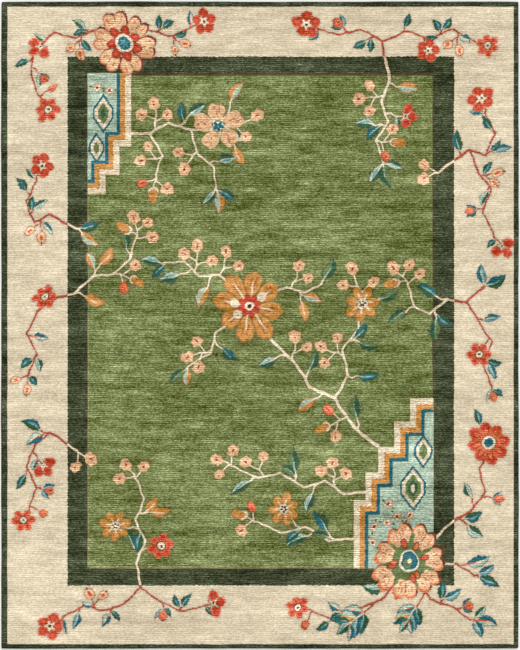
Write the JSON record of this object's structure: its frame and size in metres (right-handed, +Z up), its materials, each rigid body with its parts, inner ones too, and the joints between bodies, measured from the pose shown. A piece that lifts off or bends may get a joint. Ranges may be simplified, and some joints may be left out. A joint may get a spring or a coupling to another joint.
{
  "type": "hand-tufted floor rug",
  "caption": "Flat rectangular hand-tufted rug with a dark pile edge, a cream flowered border, a dark band and a green field of flower sprays.",
  "frame": {"origin": "on the floor under the middle of the rug, at the bottom centre of its bounding box", "axes": "+Z up out of the pile, +Y along the rug's length, +X across its width"},
  "size_m": [2.4378, 3.0474, 0.012],
  "materials": {
    "pile": "matte cut wool pile"
  },
  "bodies": {
    "root": {"tufted_mat": "pile"}
  },
  "joints": []
}
